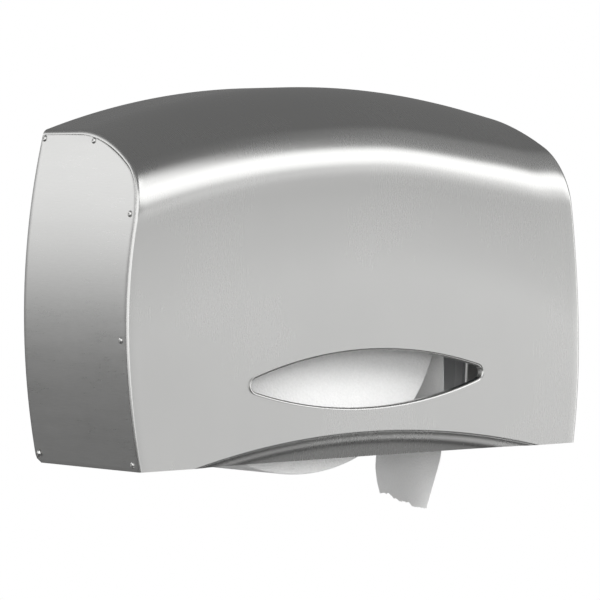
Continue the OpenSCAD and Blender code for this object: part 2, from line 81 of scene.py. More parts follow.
SHOULDER_SAG = 7.0  # how much lower the shoulder lies midway than at the sides
SAG_HALF_W = 168.0  # half the width over which it does
SAG_START_T = 55.0  # the sag begins here
SAG_FULL_T = 135.0  # and is full here
RIGHT_SAG = 4.0  # how much lower the shoulder lies again towards the right
RIGHT_SAG_START_X = 20.0
RIGHT_SAG_FULL_X = 110.0
RIGHT_SAG_END_X = 172.0
RIGHT_SAG_FADE = 30.0  # width over which it ends

FEATURE_X = 5.7  # middle of the window and of the hand recess
WINDOW_W = 184.0
WINDOW_H = 40.5
WINDOW_Z = 52.6  # height of the window's middle
WINDOW_END_R = 6.0
WINDOW_LIP = 4.0  # how far the edge is turned in
LIP_BEND_R = 0.5
RECESS_H = 17.6
RECESS_R = 545.0
RECESS_BACK = 8.0  # how far the recess steps back
RECESS_BEND_R = 2.0  # bend along its crease
RECESS_A = 60.0  # steepest angle of the step, degrees
RECESS_SOFT_R = 12.0  # bend between the step and the strip under it
RECESS_LEAN = 12.0  # degrees that the strip leans back
RECESS_STRIP = 6.0  # height of the strip
RECESS_HALF_A = 16.0  # degrees that the lip runs to each side
CUT_REACH = 9.0  # how far a cutter reaches past the front on both sides

CROWN_Z = BODY_H - CROWN_R
BOW_X = BODY_W / 2 - BOW_R


def cos_of(angle):
    return math.cos(math.radians(angle))


def sin_of(angle):
    return math.sin(math.radians(angle))


def direction(angle):
    """A direction in the side view: 0 is up, 90 is out from the wall."""
    return Vector((cos_of(angle), sin_of(angle)))


# Centres of the side view's arcs, as (distance from the crown's centre, t).
FLAT_T = BODY_D - TIGHT_R - (SOFT_R - TIGHT_R) * sin_of(SOFT_A)
SOFT_C = Vector((CROWN_R - SOFT_R, FLAT_T))
TIGHT_C = SOFT_C + (SOFT_R - TIGHT_R) * direction(SOFT_A)
HOLLOW_C = TIGHT_C + (TIGHT_R + HOLLOW_R) * direction(90 + LEAN_A)
FRONT_T = HOLLOW_C.y - HOLLOW_R


def point(x, t, h):
    """A place on the object, from millimetres to the scene's metres."""
    return Vector((x, -t, h - MOUNT_H)) * MM


def side_at(h, inset=0.0):
    """Half width of the bowed outline at a height."""
    return BOW_X + math.sqrt((BOW_R - inset) ** 2 - (h - BOW_H) ** 2)


def steps(first, last, size):
    """Evenly spaced values from first to last, no further apart than size."""
    count = max(1, math.ceil(abs(last - first) / size))
    return [first + (last - first) * i / count for i in range(count + 1)]


def eased(value, low, high):
    """0 at low, 1 at high, and smooth between them."""
    share = min(1.0, max(0.0, (value - low) / (high - low)))
    return share * share * (3 - 2 * share)


# ---------------------------------------------------------------- ways of working
def select_only(piece):
    bpy.ops.object.select_all(action="DESELECT")
    piece.select_set(True)
    bpy.context.view_layer.objects.active = piece


def edit(piece, *actions):
    """Runs the actions in edit mode with the whole piece selected."""
    select_only(piece)
    bpy.ops.object.mode_set(mode="EDIT")
    bpy.ops.mesh.select_all(action="SELECT")
    for action in actions:
        action()
    bpy.ops.object.mode_set(mode="OBJECT")
    return piece


def settle(piece):
    """Puts the piece's place into its mesh, so that its object sits at the origin."""
    select_only(piece)
    bpy.ops.object.transform_apply(location=True, rotation=True, scale=True)
    return piece


def modify(piece, kind, **settings):
    """Adds a modifier with these settings and applies it."""
    select_only(piece)
    modifier = piece.modifiers.new(kind.title(), kind)
    for name, value in settings.items():
        setattr(modifier, name, value)
    bpy.ops.object.modifier_apply(modifier=modifier.name)
    return piece


def joined(name, pieces):
    """Makes one piece of several, under a new name."""
    select_only(pieces[0])
    for piece in pieces:
        piece.select_set(True)
    if len(pieces) > 1:
        bpy.ops.object.join()
    pieces[0].name = pieces[0].data.name = name
    return pieces[0]


def smooth(piece, angle):
    """Smooth shading over every edge flatter than an angle in degrees."""
    select_only(piece)
    bpy.ops.object.shade_smooth_by_angle(angle=math.radians(angle))
    return piece


def formed_grid(name, columns, rows, place):
    """A grid sheet whose vertices are put in their places by place(column, row)."""
    bpy.ops.mesh.primitive_grid_add(x_subdivisions=columns, y_subdivisions=rows, size=1)
    grid = bpy.context.object
    grid.name = grid.data.name = name
    for vertex in grid.data.vertices:
        column = round((vertex.co.x + 0.5) * columns)
        row = round((vertex.co.y + 0.5) * rows)
        vertex.co = place(column, row)
    return grid


def prism(name, outline, t_back, t_front):
    """A flat outline of (x, h) points, drawn out from t_back to t_front."""
    bpy.ops.mesh.primitive_circle_add(vertices=len(outline), fill_type="NGON")
    solid = bpy.context.object
    solid.name = name
    for vertex, (x, h) in zip(solid.data.vertices, outline):
        vertex.co = point(x, t_back, h)
    depth = Vector((0, -(t_front - t_back) * MM, 0))
    edit(
        solid,
        lambda: bpy.ops.mesh.extrude_region_move(TRANSFORM_OT_translate={"value": depth}),
        lambda: bpy.ops.mesh.select_all(action="SELECT"),
        lambda: bpy.ops.mesh.normals_make_consistent(inside=False),
    )
    return solid


def cut(piece, cutter):
    """Takes the cutter out of the piece, and removes the cutter."""
    modify(piece, "BOOLEAN", operation="DIFFERENCE", solver="EXACT", object=cutter)
    bpy.data.objects.remove(cutter)
    return piece


def finish_piece(piece, body, slot, *stands_for):
    """Says what the piece moves with and hides the CAD nodes that it stands for; its slot is not used."""
    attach(piece, body)
    if stands_for:
        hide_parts(*stands_for)
    return piece


# ---------------------------------------------------------------- formed cover
FRONT_ROWS = 30
FRONT_COLUMNS = 80
EDGE_TRIES = 12  # rounds in which the bowed edge's place settles
# How finely the side view is divided: millimetres along the flat top, then degrees.
FLAT_STEP = 9
SOFT_STEP = 1.6
TIGHT_STEP = 3
HOLLOW_STEP = 0.7


def shoulder_rows():
    """The side view from the back edge to the flat front, as (place, outward direction) pairs."""
    soft = steps(0, SOFT_A, SOFT_STEP)[:-1]
    tight = steps(SOFT_A, 90 + LEAN_A, TIGHT_STEP)[:-1]
    hollow = steps(LEAN_A - 90, -90, HOLLOW_STEP)
    rows = [(Vector((CROWN_R, t)), direction(0)) for t in steps(WALL_GAP, FLAT_T, FLAT_STEP)[:-1]]
    rows += [(SOFT_C + SOFT_R * direction(a), direction(a)) for a in soft]
    rows += [(TIGHT_C + TIGHT_R * direction(a), direction(a)) for a in tight]
    rows += [(HOLLOW_C + HOLLOW_R * direction(a), -direction(a)) for a in hollow]
    return rows


def rim_path(bend):
    """The sheet's outer face from the flange's edge, over the step and the rim, to the bend's front end.

    Each pair is (distance inside the bowed outline, depth below the cover's surface)."""
    path = [(STEP, d) for d in steps(FLANGE_W, RIM_W + STEP_RUN, 4.5)]
    path += [(STEP * (1 + cos_of(a)) / 2, RIM_W + STEP_RUN - STEP_RUN * a / 180) for a in (60, 120, 180)]
    path += [(bend - bend * cos_of(a), bend - bend * sin_of(a)) for a in steps(0, 90, 12)]
    return path


SHOULDER = shoulder_rows()


def shoulder_at(row):
    """The shoulder's (place, outward direction) at a row above the flat front."""
    return SHOULDER[len(SHOULDER) - 1 - (row - FRONT_ROWS)]


def surface(row, x, depth):
    """(t, h) of the cover's surface over x, row counted from the bottom edge, at a depth below it."""
    if row >= FRONT_ROWS:
        place, outward = shoulder_at(row)
        radius, t = place - depth * outward
        h = CROWN_Z + math.sqrt(radius**2 - x * x)
        low = eased(place.y, SAG_START_T, SAG_FULL_T) * eased(place.x, HOLLOW_C.x, TIGHT_C.x)
        sag = SHOULDER_SAG * max(0.0, 1 - (x / SAG_HALF_W) ** 2)
        right = eased(x, RIGHT_SAG_START_X, RIGHT_SAG_FULL_X)
        sag += RIGHT_SAG * right * eased(RIGHT_SAG_END_X - x, 0, RIGHT_SAG_FADE)
        return t, h - sag * low
    share = row / FRONT_ROWS
    return FRONT_T - depth, share * (CROWN_Z + math.sqrt(HOLLOW_C.x**2 - x * x))


def edge_x(row, inset, depth):
    """Where a row meets the bowed outline, or a line inset from it, at a depth below the surface."""
    x = BODY_W / 2
    for _ in range(EDGE_TRIES):
        x = side_at(surface(row, x, depth)[1], inset)
    return x


def cover_shell():
    """One sheet: arched top, hollow front, rims and flanges, window and hand recess."""
    rows = FRONT_ROWS + len(SHOULDER) - 1
    rims = []
    for row in range(rows + 1):
        top = 0.0
        if row >= FRONT_ROWS:
            top = eased(shoulder_at(row)[0].y, FRONT_BEND_T, TOP_BEND_T)
        rims.append(rim_path(BEND_R + (TOP_BEND_R - BEND_R) * top))
    rim_count = len(rims[0])
    columns = 2 * (rim_count - 1) + FRONT_COLUMNS

    def place(column, row):
        from_edge = min(column, columns - column)
        hand = -1 if column < columns / 2 else 1
        if from_edge < rim_count:
            inset, depth = rims[row][from_edge]
            x = hand * edge_x(row, inset, depth)
        else:
            share = (column - rim_count + 1) / FRONT_COLUMNS
            depth = 0
            x = (2 * share - 1) * edge_x(row, rims[row][-1][0], 0)
        t, h = surface(row, x, depth)
        return point(x, t, h)

    sheet = formed_grid("cover_shell", columns, rows, place)
    modify(sheet, "SOLIDIFY", thickness=SHEET * MM, offset=-1, use_even_offset=True)
    cut(sheet, prism("window_cutter", oval_outline(-LIP_BEND_R), FRONT_T - CUT_REACH, FRONT_T + CUT_REACH))
    cut(sheet, prism("recess_cutter", recess_outline(), FRONT_T - CUT_REACH, FRONT_T + CUT_REACH))
    shell = joined("cover_shell", [sheet, window_lip(), recess_lip()])
    smooth(shell, angle=32)
    return finish_piece(shell, "cover", "cover_steel", "cover_wrap")


def oval_outline(inset):
    """The window's four-arc oval, drawn in by an inset, as (x, h) points."""
    b = WINDOW_H / 2 - inset
    e = WINDOW_END_R - inset
    run = WINDOW_W / 2 - WINDOW_END_R
    big = (run * run + b * b - e * e) / (2 * (b - e))
    joint = math.degrees(math.atan2(big - b, run))
    end_step = 8
    long_step = 0.8
    arcs = (
        (run, 0, e, -joint, joint, end_step),
        (0, b - big, big, joint, 180 - joint, long_step),
        (-run, 0, e, 180 - joint, 180 + joint, end_step),
        (0, big - b, big, 180 + joint, 360 - joint, long_step),
    )
    return [
        (FEATURE_X + x + r * cos_of(a), WINDOW_Z + h + r * sin_of(a))
        for x, h, r, first, last, size in arcs
        for a in steps(first, last, size)[:-1]
    ]


def window_lip():
    """The sheet's edge, turned in round the window."""
    section = [(LIP_BEND_R * (1 - sin_of(a)), LIP_BEND_R * (1 - cos_of(a))) for a in steps(0, 90, 15)]
    section.append((0, WINDOW_LIP + SHEET / 2))
    ovals = [oval_outline(-outside) for outside, _ in section]
    count = len(ovals[0])

    def place(column, row):
        x, h = ovals[row][-column % count]
        return point(x, FRONT_T - section[row][1], h)

    lip = formed_grid("window_lip", count, len(section) - 1, place)
    edit(
        lip,
        lambda: bpy.ops.mesh.remove_doubles(threshold=0.01 * MM),
        lambda: bpy.ops.mesh.normals_make_consistent(inside=False),
    )
    return modify(lip, "SOLIDIFY", thickness=SHEET * MM, offset=1, use_even_offset=True)


def recess_outline():
    """What the hand recess takes from the flat front: all below its crease."""
    below = 12.0
    half = math.degrees(math.acos((RECESS_R - RECESS_H - below) / RECESS_R))
    centre = RECESS_H - RECESS_R
    return [
        (FEATURE_X + RECESS_R * sin_of(a), centre + RECESS_R * cos_of(a))
        for a in steps(half, -half, 0.5)
    ]


def recess_lip():
    """The stepped-back lip: two bends along the crease, then a strip that leans back to the bottom edge."""
    steep = direction(RECESS_A)
    lean = direction(RECESS_LEAN)
    crease = Vector((RECESS_BEND_R * steep.y, RECESS_BEND_R * (1 - steep.x)))
    bends = crease + RECESS_SOFT_R * Vector((steep.y - lean.y, lean.x - steep.x))
    slope = (RECESS_BACK - bends.y - RECESS_STRIP * lean.y) / steep.y
    middle = Vector((bends.x + slope * steep.x, bends.y + slope * steep.y))
    bend_c = middle + RECESS_SOFT_R * Vector((lean.y, -lean.x))
    past_bottom = 4.0
    section = [
        (RECESS_BEND_R * sin_of(a), RECESS_BEND_R * (1 - cos_of(a))) for a in steps(0, RECESS_A, 7.5)
    ]
    section += [
        tuple(bend_c + RECESS_SOFT_R * Vector((-sin_of(a), cos_of(a))))
        for a in steps(RECESS_A, RECESS_LEAN, 6.5)
    ]
    section += [tuple(middle + lean * down) for down in steps(2.5, RECESS_H + past_bottom, 3)]
    turns = steps(-RECESS_HALF_A, RECESS_HALF_A, 0.4)
    centre = RECESS_H - RECESS_R

    def place(column, row):
        down, back = section[len(section) - 1 - row]
        radius = RECESS_R - down
        across = radius * sin_of(turns[column])
        return point(FEATURE_X + across, FRONT_T - back, centre + radius * cos_of(turns[column]))

    lip = formed_grid("recess_lip", len(turns) - 1, len(section) - 1, place)
    bottom = point(0, 0, 0)
    edit(lip, lambda: bpy.ops.mesh.bisect(plane_co=bottom, plane_no=(0, 0, -1), clear_outer=True))
    return modify(lip, "SOLIDIFY", thickness=SHEET * MM, offset=-1, use_even_offset=True)


cover = cover_shell()


# ---------------------------------------------------------------- side panels and rivets
def merged_copy(node, name):
    """A copy of a CAD node's mesh, with its loose triangles joined up and flat parts made one face."""
    piece = bpy.data.objects.new(name, frame["nodes"][node].data.copy())
    bpy.context.scene.collection.objects.link(piece)
    return edit(
        piece,
        lambda: bpy.ops.mesh.customdata_custom_splitnormals_clear(),
        lambda: bpy.ops.mesh.remove_doubles(threshold=0.002 * MM),
        lambda: bpy.ops.mesh.tris_convert_to_quads(),
        lambda: bpy.ops.mesh.dissolve_limited(angle_limit=math.radians(0.6)),
    )


def spun(name, profile, count):
    """Turns a closed profile of (radius, along x) points, in millimetres, about the x direction."""
    bpy.ops.mesh.primitive_circle_add(vertices=len(profile), fill_type="NOTHING")
    ring = bpy.context.object
    ring.name = name
    for vertex, (radius, along) in zip(ring.data.vertices, profile):
        vertex.co = Vector((along, 0, radius)) * MM
    edit(
        ring,
        lambda: bpy.ops.mesh.spin(steps=count, angle=math.tau, center=(0, 0, 0), axis=(1, 0, 0)),
        lambda: bpy.ops.mesh.select_all(action="SELECT"),
        lambda: bpy.ops.mesh.remove_doubles(threshold=0.003 * MM),
        lambda: bpy.ops.mesh.normals_make_consistent(inside=False),
    )
    return ring


def round_edges(piece, width):
    """Rounds a sheet's sharp edges by a width in millimetres."""
    return modify(
        piece, "BEVEL", width=width * MM, segments=2, limit_method="ANGLE", angle_limit=math.radians(50)
    )


RIVET_R = 2.2
RIVET_H = 1.1
MANDREL_R = 0.84  # broken end of the pin in the middle of each head


def rivet_head():
    """A blind rivet's head: low dome, broken mandrel in the middle, tucked under at its rim."""
    profile = [(0.0, 0.42), (0.62, 0.42), (0.72, 0.78), (MANDREL_R, RIVET_H)]
    profile += [
        (MANDREL_R + (RIVET_R - MANDREL_R) * sin_of(a), RIVET_H * (0.25 + 0.75 * cos_of(a)))
        for a in steps(15, 90, 15)
    ]
    profile += [(RIVET_R - 0.12, 0.0), (0.0, -0.1)]
    return spun("rivet_head", profile, 24)


def rivet_row(side, hand):
    """Five heads on one side, each where the CAD rivet stands and square to the bowed panel."""
    loose = merged_copy("rivets_" + side, "rivet_places")
    select_only(loose)
    bpy.ops.object.mode_set(mode="EDIT")
    bpy.ops.mesh.select_all(action="SELECT")
    bpy.ops.mesh.separate(type="LOOSE")
    bpy.ops.object.mode_set(mode="OBJECT")
    places = list(bpy.context.selected_objects)
    pattern = rivet_head()
    heads = []
    for found in places:
        corners = [vertex.co for vertex in found.data.vertices]
        y = (min(c.y for c in corners) + max(c.y for c in corners)) / 2
        z = (min(c.z for c in corners) + max(c.z for c in corners)) / 2
        h = z / MM + MOUNT_H
        head = bpy.data.objects.new("rivet", pattern.data.copy())
        bpy.context.scene.collection.objects.link(head)
        lean = math.asin((h - BOW_H) / BOW_R)
        head.rotation_euler = (0, -lean if hand > 0 else math.pi + lean, 0)
        head.location = (hand * side_at(h, STEP - SHEET) * MM, y, z)
        heads.append(settle(head))
    for found in places + [pattern]:
        bpy.data.objects.remove(found)
    row = joined("rivet_heads_" + side, heads)
    smooth(row, angle=40)
    return finish_piece(row, "cover", "bright_steel", "rivets_" + side)


PANEL_GAP = 0.3  # gap between a panel and its rim
PANEL_BOW = 0.15  # how far a panel stands out midway from front to back
PANEL_COLUMNS = 30
PANEL_EDGE = 0.12  # how far its edges are rounded
LOCK_T = 29.0  # the lock's hole, on the right side
LOCK_H = 185.15
LOCK_HOLE_R = 8.05
HINGE_T = 7.0  # the hinge pins' holes
HINGE_H = 6.5
HINGE_HOLE_R = 1.6


def panel_hole(panel, hand, t, h, radius):
    """Cuts a round hole straight through a side panel."""
    bpy.ops.mesh.primitive_cylinder_add(
        vertices=64,
        radius=radius * MM,
        depth=30 * MM,
        location=point(hand * side_at(h), t, h),
        rotation=(0, math.pi / 2, 0),
    )
    cut(panel, bpy.context.object)


def side_panel(side, hand):
    """The bowed panel inside a rim: rows of equal height from the wall edge out to the rim."""
    front = list(range(FRONT_ROWS))
    over = range(FRONT_ROWS, FRONT_ROWS + len(SHOULDER))
    rows = front + [row for row in over if shoulder_at(row)[0].y > FLAT_T - 0.1]
    depth = RIM_W + PANEL_GAP
    outer = [surface(row, edge_x(row, STEP - SHEET, depth), depth) for row in rows]

    def place(column, row):
        t_edge, h = outer[row]
        share = column / PANEL_COLUMNS
        back = WALL_GAP
        if h < HINGE_H * 2:
            back = HINGE_T - math.sqrt(max(0.0, HINGE_H**2 - (HINGE_H - min(h, HINGE_H)) ** 2))
            back = max(back, WALL_GAP)
        t = back + (t_edge - back) * share
        dish = PANEL_BOW * math.sin(math.pi * share)
        return point(hand * (side_at(h, STEP - SHEET) + dish), t, h)

    panel = formed_grid("panel_" + side, PANEL_COLUMNS, len(rows) - 1, place)
    edit(panel, lambda: bpy.ops.mesh.normals_make_consistent(inside=False))
    outward = sum((face.normal.x for face in panel.data.polygons)) * hand > 0
    modify(panel, "SOLIDIFY", thickness=SHEET * MM, offset=-1 if outward else 1, use_even_offset=True)
    panel_hole(panel, hand, HINGE_T, HINGE_H, HINGE_HOLE_R)
    if hand > 0:
        panel_hole(panel, hand, LOCK_T, LOCK_H, LOCK_HOLE_R)
    round_edges(panel, PANEL_EDGE)
    smooth(panel, angle=38)
    return finish_piece(panel, "cover", "cover_steel", "side_panel_" + side)


RETURN_INNER = 158.2  # the folded strips' inner and outer edge
RETURN_OUTER = 175.2
RETURN_T = 0.6  # their back face
RETURN_SHEET = 0.8
RETURN_HEM_T = 4.2  # how far out their hem reaches
RETURN_FOOT = 16.0
RETURN_RISE = 8.0  # height of each length
RETURN_RISES = 24
RETURN_EDGE = 0.2


def select_top(piece):
    """Selects the highest flat face alone."""
    select_only(piece)
    bpy.ops.object.mode_set(mode="EDIT")
    bpy.ops.mesh.select_all(action="DESELECT")
    bpy.ops.object.mode_set(mode="OBJECT")
    level = max(vertex.co.z for vertex in piece.data.vertices)
    for face in piece.data.polygons:
        face.select = all(piece.data.vertices[i].co.z > level - 0.01 * MM for i in face.vertices)


def plate_return(side, hand):
    """A folded strip behind one side of the wall plate, which keeps daylight out of the window."""
    face_t = RETURN_T + RETURN_SHEET
    hem_x = RETURN_OUTER - RETURN_SHEET
    profile = [
        (RETURN_INNER, RETURN_T),
        (RETURN_OUTER, RETURN_T),
        (RETURN_OUTER, RETURN_HEM_T),
        (hem_x, RETURN_HEM_T),
        (hem_x, face_t),
        (RETURN_INNER, face_t),
    ]
    bpy.ops.mesh.primitive_circle_add(vertices=len(profile), fill_type="NGON")
    strip = bpy.context.object
    strip.name = strip.data.name = "plate_return_" + side
    for vertex, (x, t) in zip(strip.data.vertices, profile):
        vertex.co = point(hand * x, t, RETURN_FOOT)
    rise = Vector((0, 0, RETURN_RISE * MM))
    for _ in range(RETURN_RISES):
        select_top(strip)
        bpy.ops.object.mode_set(mode="EDIT")
        bpy.ops.mesh.extrude_region_move(TRANSFORM_OT_translate={"value": rise})
        bpy.ops.object.mode_set(mode="OBJECT")
    for vertex in strip.data.vertices:
        h = vertex.co.z / MM + MOUNT_H
        lean_in = side_at(BOW_H) - side_at(h)
        vertex.co.x -= hand * lean_in * MM * eased(abs(vertex.co.x) / MM, RETURN_INNER, RETURN_OUTER)
    edit(strip, lambda: bpy.ops.mesh.normals_make_consistent(inside=False))
    round_edges(strip, RETURN_EDGE)
    smooth(strip, angle=38)
    return finish_piece(strip, "base", "plate_steel")


for side, hand in (("left", -1), ("right", 1)):
    side_panel(side, hand)
    plate_return(side, hand)
    rivet_row(side, hand)

# ---------------------------------------------------------------- paper
ROLL_X = (roll_low.x + roll_high.x) / 2 / MM
ROLL_H = (roll_low.z + roll_high.z) / 2 / MM + MOUNT_H
ROLL_R = (roll_high.x - roll_low.x) / 2 / MM
ROLL_BACK = -roll_high.y / MM
ROLL_FRONT = -roll_low.y / MM
ROLL_CORNER_R = 1.2
CORE_OUTER_R = 30.0
CORE_INNER_R = 28.5
CORE_LEAD = 62.0  # how far the core's seam climbs in one turn


def wound_roll():
    """The wound paper: soft corners, and faint rings on the ends."""
    width = ROLL_FRONT - ROLL_BACK
    rings = random.Random(11)
    deepest = 0.28
    corner_from = ROLL_R - ROLL_CORNER_R
    half = []
    for r in steps(CORE_OUTER_R + 0.05, corner_from, 2.6):
        ringed = CORE_OUTER_R + 2 < r < ROLL_R - 2
        half.append((r, deepest * rings.random() ** 2 if ringed else 0.0))
    half += [
        (corner_from + ROLL_CORNER_R * sin_of(a), ROLL_CORNER_R - ROLL_CORNER_R * cos_of(a))
        for a in (22, 45, 68, 90)
    ]
    profile = half + [(ROLL_R, across) for across in steps(8, width - 8, 18)]
    profile += [(r, width - sunk) for r, sunk in reversed(half)]
    roll = spun("wound_roll", profile, 168)
    roll.rotation_euler = (0, 0, math.pi / 2)
    roll.location = point(ROLL_X, ROLL_FRONT, ROLL_H)
    settle(roll)
    smooth(roll, angle=40)
    return finish_piece(roll, "roll", "tissue", "paper_roll")


def cardboard_core():
    """A spiral-wound tube: its seam stands as a shallow helical ridge inside."""
    width = ROLL_FRONT - ROLL_BACK
    profile = [(CORE_OUTER_R, 0.0), (CORE_OUTER_R, width)]
    profile += [(CORE_INNER_R, across) for across in steps(width, 0, 1.5)]
    tube = spun("cardboard_core", profile, 96)
    ridge_height = 0.12
    ridge_half = 0.06  # half the ridge's share of a turn
    for vertex in tube.data.vertices:
        radius = math.hypot(vertex.co.y, vertex.co.z) / MM
        if radius < CORE_INNER_R + 0.2:
            turn = math.atan2(vertex.co.z, vertex.co.y) / math.tau
            phase = (vertex.co.x / MM / CORE_LEAD - turn) % 1.0
            ridge = max(0.0, 1 - abs(phase - 0.5) / ridge_half)
            narrowed = 1 - ridge_height * ridge / radius
            vertex.co *= Vector((1, narrowed, narrowed))
    tube.rotation_euler = (0, 0, math.pi / 2)
    tube.location = point(ROLL_X, ROLL_FRONT, ROLL_H)
    settle(tube)
    smooth(tube, angle=30)
    return finish_piece(tube, "roll", "cardboard", "roll_core")


TAIL_TOP = 105.5
TAIL_FRONT_FOOT = -40.9
TAIL_BACK_FOOT = -36.4
TAIL_THICK = 0.25
# (height, x) down the loose end's edge on the front side and on the wall side
TAIL_FRONT_X = (
    (105.5, 86.1), (60.0, 87.4), (20.0, 86.6), (-3.0, 83.4),
    (-8.0, 82.4), (-17.0, 79.2), (-29.0, 75.0), (-41.0, 70.8),
)
TAIL_BACK_X = (
    (105.5, 86.1), (60.0, 87.6), (20.0, 87.4), (-10.0, 86.4),
    (-18.0, 85.6), (-28.0, 86.5), (-37.0, 88.6), (-41.0, 89.3),
)


def along(track, h):
    """The x of a track of (h, x) pairs at a height, in straight runs between its points."""
    for (h_0, x_0), (h_1, x_1) in zip(track, track[1:]):
        if h >= h_1:
            share = min(1.0, max(0.0, (h_0 - h) / (h_0 - h_1)))
            return x_0 + (x_1 - x_0) * share
    return track[-1][1]


def hanging_tail():
    """The loose end: it hangs from the roll, bows across its width, twists and ends in a torn edge."""
    columns = 60
    rows = 64
    roughness = 0.55  # of the torn edge
    nick_height = 1.4
    nick_across = 0.2
    nick_half = 0.08
    cupped = 2.2  # how far the loose part bows
    rippled = 0.25
    loose_from = 20.0  # the part that hangs free begins here
    loose_run = 60.0
    torn = random.Random(5)
    tear = [0.0]
    for _ in range(columns):
        tear.append(0.72 * tear[-1] + torn.uniform(-roughness, roughness))

    def place(column, row):
        across = column / columns
        foot = TAIL_BACK_FOOT + (TAIL_FRONT_FOOT - TAIL_BACK_FOOT) * across
        foot += tear[column] + nick_height * math.exp(-((across - nick_across) / nick_half) ** 2)
        h = TAIL_TOP + (foot - TAIL_TOP) * row / rows
        x_back = along(TAIL_BACK_X, h)
        x_front = along(TAIL_FRONT_X, h)
        loose = max(0.0, (loose_from - h) / loose_run)
        x = x_back + (x_front - x_back) * eased(across, 0, 1) - cupped * loose * math.sin(math.pi * across)
        x += rippled * loose * math.sin(9 * across + 0.11 * h)
        t = ROLL_BACK + (ROLL_FRONT - ROLL_BACK) * across
        return point(x, t, h)

    sheet = formed_grid("hanging_tail", columns, rows, place)
    modify(sheet, "SOLIDIFY", thickness=TAIL_THICK * MM, offset=0)
    smooth(sheet, angle=60)
    finish_piece(sheet, "base", "tissue", "paper_tail")
    return sheet


wound = wound_roll()
core = cardboard_core()
tail = hanging_tail()


# ---------------------------------------------------------------- effects that several materials share
def make_group(name, sockets, outputs):
    """An empty shader group with its sockets, as (group, what it is given, what it puts out)."""
    group = bpy.data.node_groups.new(name, "ShaderNodeTree")
    for label, kind, value in sockets:
        socket = group.interface.new_socket(label, in_out="INPUT", socket_type=kind)
        socket.default_value = value
    for label, kind in outputs:
        group.interface.new_socket(label, in_out="OUTPUT", socket_type=kind)
    return group, group.nodes.new("NodeGroupInput"), group.nodes.new("NodeGroupOutput")


def node(tree, kind, inputs=None, **settings):
    """Adds a node, sets its settings, and links or sets its inputs by name or number."""
    made = tree.nodes.new(kind)
    for name, value in settings.items():
        setattr(made, name, value)
    for key, value in (inputs or {}).items():
        if isinstance(value, bpy.types.NodeSocket):
            tree.links.new(value, made.inputs[key])
        else:
            made.inputs[key].default_value = value
    return made


def maths(tree, operation, *values):
    """The result of one step of arithmetic on values or sockets."""
    return node(tree, "ShaderNodeMath", dict(enumerate(values)), operation=operation).outputs[0]


def ranged(tree, value, from_low, from_high, to_low, to_high, kind="LINEAR"):
    """A value moved from one range to another."""
    inputs = {0: value, 1: from_low, 2: from_high, 3: to_low, 4: to_high}
    return node(tree, "ShaderNodeMapRange", inputs, interpolation_type=kind).outputs[0]


def noise(tree, place, **settings):
    """A noise pattern's value over a place."""
    inputs = {"Vector": place}
    inputs.update(settings)
    return node(tree, "ShaderNodeTexNoise", inputs).outputs[0]


def make_grain():
    """Fine lines drawn out one way, with a coarser drift: shade and roughness."""
    group, given, out = make_group(
        "brushed_grain",
        [("Stretch", "NodeSocketVector", (1400, 60, 60)), ("Strength", "NodeSocketFloat", 1.0)],
        [("Shade", "NodeSocketFloat"), ("Roughness", "NodeSocketFloat")],
    )
    place = node(group, "ShaderNodeTexCoord").outputs["Object"]
    drawn_out = {"Vector": place, "Scale": given.outputs["Stretch"]}
    spread = node(group, "ShaderNodeMapping", drawn_out).outputs[0]
    fine = noise(group, spread, Scale=1.0, Detail=3.0, Roughness=0.6)
    drift = noise(group, spread, Scale=0.16, Detail=2.0)
    lines = maths(group, "ADD", maths(group, "MULTIPLY", fine, 0.7), maths(group, "MULTIPLY", drift, 0.3))
    about = maths(group, "MULTIPLY", maths(group, "SUBTRACT", lines, 0.5), given.outputs["Strength"])
    shade = maths(group, "ADD", 1.0, maths(group, "MULTIPLY", about, 0.5))
    group.links.new(shade, out.inputs["Shade"])
    group.links.new(maths(group, "MULTIPLY", about, 0.35), out.inputs["Roughness"])
    return group


def make_clouding():
    """Broad, faint unevenness from handling and light: a value about zero."""
    group, given, out = make_group(
        "clouding",
        [("Size", "NodeSocketFloat", 14.0), ("Strength", "NodeSocketFloat", 1.0)],
        [("Value", "NodeSocketFloat")],
    )
    place = node(group, "ShaderNodeTexCoord").outputs["Object"]
    patches = noise(group, place, Scale=given.outputs["Size"], Detail=4.0)
    about = maths(group, "MULTIPLY", maths(group, "SUBTRACT", patches, 0.5), given.outputs["Strength"])
    group.links.new(about, out.inputs["Value"])
    return group


def make_pitting():
    """Even fine unevenness, as of paint, mouldings and card: shade and height."""
    group, given, out = make_group(
        "pitting",
        [("Size", "NodeSocketFloat", 900.0), ("Strength", "NodeSocketFloat", 1.0)],
        [("Shade", "NodeSocketFloat"), ("Height", "NodeSocketFloat")],
    )
    place = node(group, "ShaderNodeTexCoord").outputs["Object"]
    pits = noise(group, place, Scale=given.outputs["Size"], Detail=2.0)
    about = maths(group, "MULTIPLY", maths(group, "SUBTRACT", pits, 0.5), given.outputs["Strength"])
    group.links.new(maths(group, "ADD", 1.0, maths(group, "MULTIPLY", about, 0.25)), out.inputs["Shade"])
    group.links.new(about, out.inputs["Height"])
    return group


grain = make_grain()
clouding = make_clouding()
pitting = make_pitting()


# ---------------------------------------------------------------- materials
def new_material(name, colour, roughness, metallic=0.0, **sockets):
    """A new material with these values on its shader's own sockets, as (material, tree, shader)."""
    material = bpy.data.materials.new(name)
    material.use_nodes = True
    shader = material.node_tree.nodes["Principled BSDF"]
    shader.inputs["Base Color"].default_value = (*colour, 1)
    shader.inputs["Roughness"].default_value = roughness
    shader.inputs["Metallic"].default_value = metallic
    for label, value in sockets.items():
        shader.inputs[label.replace("_", " ")].default_value = value
    return material, material.node_tree, shader


